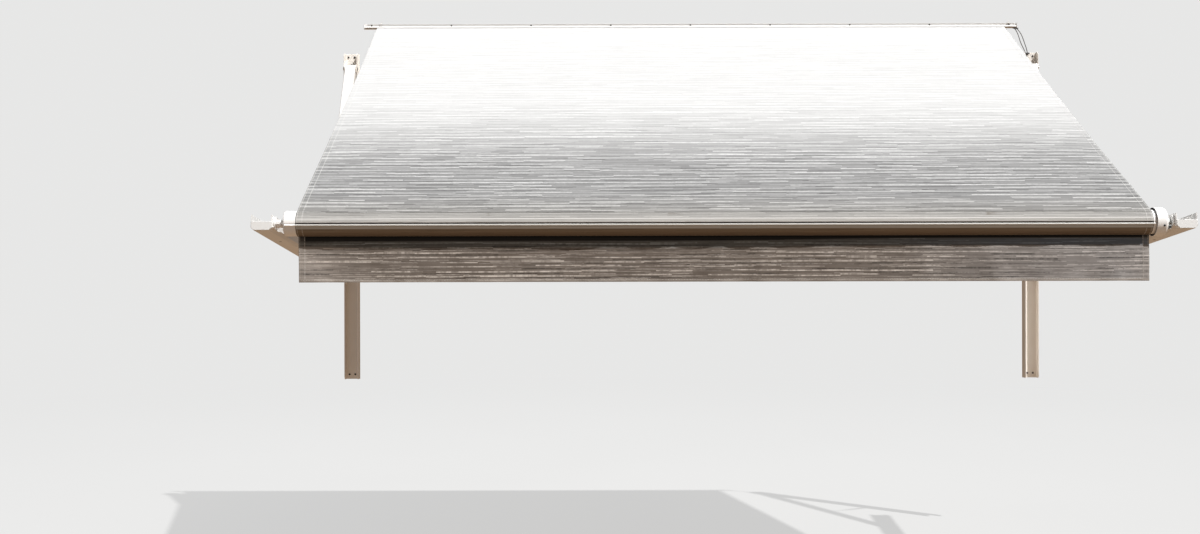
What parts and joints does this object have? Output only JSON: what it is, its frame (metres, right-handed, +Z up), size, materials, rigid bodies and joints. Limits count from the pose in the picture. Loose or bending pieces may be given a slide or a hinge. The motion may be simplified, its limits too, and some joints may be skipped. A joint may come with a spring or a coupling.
{
  "type": "roll out awning",
  "caption": "Wall-mounted roll out awning with a fabric canopy on a motor-driven roller, elbow arms with gas struts, wall channels and a hanging valance.",
  "frame": {"origin": "middle of the back face of the awning rail, on the wall plane", "axes": "+X along the rail to the right seen from outside, +Y into the wall, +Z up; the awning reaches out along -Y"},
  "size_m": [4.0792, 2.2139, 2.095],
  "materials": {
    "rail_white": "satin powder coat",
    "arm_white": "satin powder coat",
    "moulded_white": "fine moulded",
    "moulded_dark": "fine moulded",
    "zinc": "zinc plated",
    "black_screw": "black oxide",
    "tube_metal": "mill finish",
    "strip_light": "smooth",
    "canopy_fabric": "coated cloth, white fading to grey",
    "wrap_fabric": "coated cloth, taupe",
    "valance_fabric": "coated cloth, taupe streaks",
    "strut_body": "gloss black",
    "strut_chrome": "polished",
    "lead_jacket": "smooth"
  },
  "bodies": {
    "root": {"awning_rail": "rail_white", "rail_screws": "zinc", "rail_end_caps": "moulded_white", "rail_stops": "moulded_white", "wall_channel_left": "rail_white", "wall_channel_right": "rail_white", "top_bracket_left": "rail_white", "top_bracket_right": "rail_white", "wall_screws": "zinc", "bracket_bolts": "zinc", "pivot_pins": "zinc", "strut_foot_left": "zinc", "strut_foot_right": "zinc", "strut_foot_pins": "zinc", "lead_outlet": "moulded_dark", "lead_grommet": "moulded_dark", "motor_lead": "lead_jacket", "light_lead": "lead_jacket"},
    "roller": {"roller_tube": "tube_metal", "canopy_wrap": "wrap_fabric", "roller_beads": "strip_light", "front_strip": "strip_light", "idler_cap": "moulded_white", "idler_plug": "moulded_dark", "idler_bearing": "zinc", "drive_collar": "moulded_white", "crown_bearing": "moulded_dark", "drive_wheel": "moulded_dark"},
    "canopy": {"canopy": "canopy_fabric", "canopy_bead": "strip_light"},
    "valance": {"valance": "valance_fabric"},
    "upper_arm_left": {"upper_arm_left": "arm_white", "arm_sleeves_left": "moulded_dark", "strut_bolt_heads_left": "zinc"},
    "main_arm_left": {"main_arm_left": "arm_white", "elbow_pin_left": "zinc", "elbow_spacers_left": "moulded_dark", "arm_nose_left": "moulded_white", "arm_tail_cap_left": "moulded_dark", "head_bracket_left": "arm_white", "head_bolts_left": "zinc", "idler_axle": "zinc"},
    "strut_cylinder_left": {"strut_cylinder_left": "strut_body"},
    "strut_rod_left": {"strut_rod_left": "strut_chrome"},
    "upper_arm_right": {"upper_arm_right": "arm_white", "arm_sleeves_right": "moulded_dark", "strut_bolt_heads_right": "zinc"},
    "main_arm_right": {"main_arm_right": "arm_white", "elbow_pin_right": "zinc", "elbow_spacers_right": "moulded_dark", "arm_nose_right": "moulded_white", "arm_tail_cap_right": "moulded_dark", "head_bracket_right": "arm_white", "head_bolts_right": "zinc", "tubular_motor": "tube_metal", "motor_housing": "moulded_white", "motor_coupling": "zinc", "housing_screws": "black_screw"},
    "strut_cylinder_right": {"strut_cylinder_right": "strut_body"},
    "strut_rod_right": {"strut_rod_right": "strut_chrome"}
  },
  "joints": [
    {"name": "upper_arm_swing_left", "type": "hinge", "parent": "root", "child": "upper_arm_left", "pos_m": [-1.99, -0.04, -0.25], "axis": [1, 0, 0], "range_deg": [0, 30.26]},
    {"name": "elbow_left", "type": "hinge", "parent": "upper_arm_left", "child": "main_arm_left", "pos_m": [-1.99, -0.74, -1.391], "axis": [1, 0, 0], "range_deg": [-111.43, 0]},
    {"name": "upper_arm_swing_right", "type": "hinge", "parent": "root", "child": "upper_arm_right", "pos_m": [1.99, -0.04, -0.25], "axis": [1, 0, 0], "range_deg": [0, 30.26]},
    {"name": "elbow_right", "type": "hinge", "parent": "upper_arm_right", "child": "main_arm_right", "pos_m": [1.99, -0.74, -1.391], "axis": [1, 0, 0], "range_deg": [-111.45, 0]},
    {"name": "roller_spin", "type": "hinge", "parent": "main_arm_left", "child": "roller", "pos_m": [0, -2.15, -1.223], "axis": [1, 0, 0], "range_deg": [0, 2342.35]},
    {"name": "valance_hang", "type": "hinge", "parent": "main_arm_left", "child": "valance", "pos_m": [0, -2.15, -1.223], "axis": [1, 0, 0], "range_deg": [0, 81.21], "deforming": ["valance"]},
    {"name": "canopy_tilt", "type": "hinge", "parent": "root", "child": "canopy", "pos_m": [0, -0.0105, -0.0065], "axis": [1, 0, 0], "range_deg": [0, 10.6], "deforming": ["canopy"]},
    {"name": "strut_swing_left", "type": "hinge", "parent": "root", "child": "strut_cylinder_left", "pos_m": [-1.99, -0.024, -1.42], "axis": [1, 0, 0], "range_deg": [-33.12, 0]},
    {"name": "strut_swing_right", "type": "hinge", "parent": "root", "child": "strut_cylinder_right", "pos_m": [1.99, -0.024, -1.42], "axis": [1, 0, 0], "range_deg": [-33.12, 0]},
    {"name": "strut_stroke_left", "type": "slide", "parent": "strut_cylinder_left", "child": "strut_rod_left", "axis": [0, -0.6097, 0.7927], "range_m": [-0.24828, 0]},
    {"name": "strut_stroke_right", "type": "slide", "parent": "strut_cylinder_right", "child": "strut_rod_right", "axis": [0, -0.6097, 0.7927], "range_m": [-0.24828, 0]}
  ],
  "couplings": [
    {"joint": "upper_arm_swing_left", "follows": "elbow_left", "ratio": -0.27142},
    {"joint": "upper_arm_swing_right", "follows": "elbow_left", "ratio": -0.27142},
    {"joint": "elbow_right", "follows": "elbow_left", "ratio": 1},
    {"joint": "roller_spin", "follows": "elbow_left", "ratio": -21.02},
    {"joint": "valance_hang", "follows": "elbow_left", "ratio": -0.72858},
    {"joint": "canopy_tilt", "follows": "elbow_left", "ratio": -0.094952},
    {"joint": "strut_swing_left", "follows": "elbow_left", "ratio": 0.29705},
    {"joint": "strut_swing_right", "follows": "elbow_left", "ratio": 0.29705},
    {"joint": "strut_stroke_left", "follows": "elbow_left", "m_per_rad": 0.12755},
    {"joint": "strut_stroke_right", "follows": "elbow_left", "m_per_rad": 0.12755}
  ]
}
